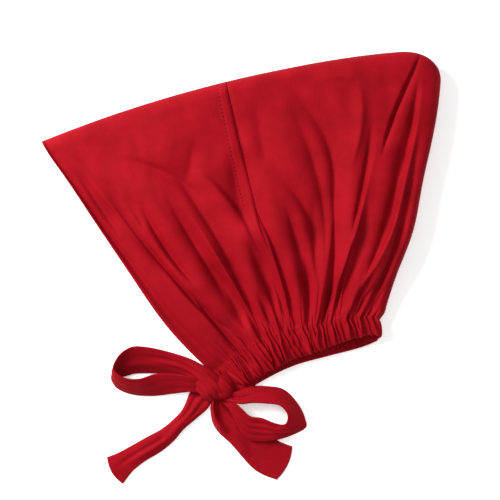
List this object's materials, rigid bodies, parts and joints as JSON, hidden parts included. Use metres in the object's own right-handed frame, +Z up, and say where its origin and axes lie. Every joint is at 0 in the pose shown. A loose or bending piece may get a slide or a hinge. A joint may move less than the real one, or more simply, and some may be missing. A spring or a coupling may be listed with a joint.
{
  "type": "hijab underscarf cap",
  "caption": "Red jersey underscarf cap lying flat on its side, with a gathered elastic hem and its ties in a bow.",
  "frame": {"origin": "on the surface that the cap lies on, under the middle of its box", "axes": "+X from the face edge towards the back of the cap, +Y from the gathered hem towards the top fold, +Z up from the surface"},
  "size_m": [0.373, 0.4052, 0.0278],
  "materials": {
    "jersey": "matte",
    "casing": "matte",
    "ties": "matte"
  },
  "bodies": {
    "root": {"front_panel": "jersey", "crown_bag": "jersey", "nape_band": "casing", "bow_knot": "ties", "bow_loop_left": "ties", "bow_loop_right": "ties", "tie_tail_left": "ties", "tie_tail_right": "ties"}
  },
  "joints": []
}
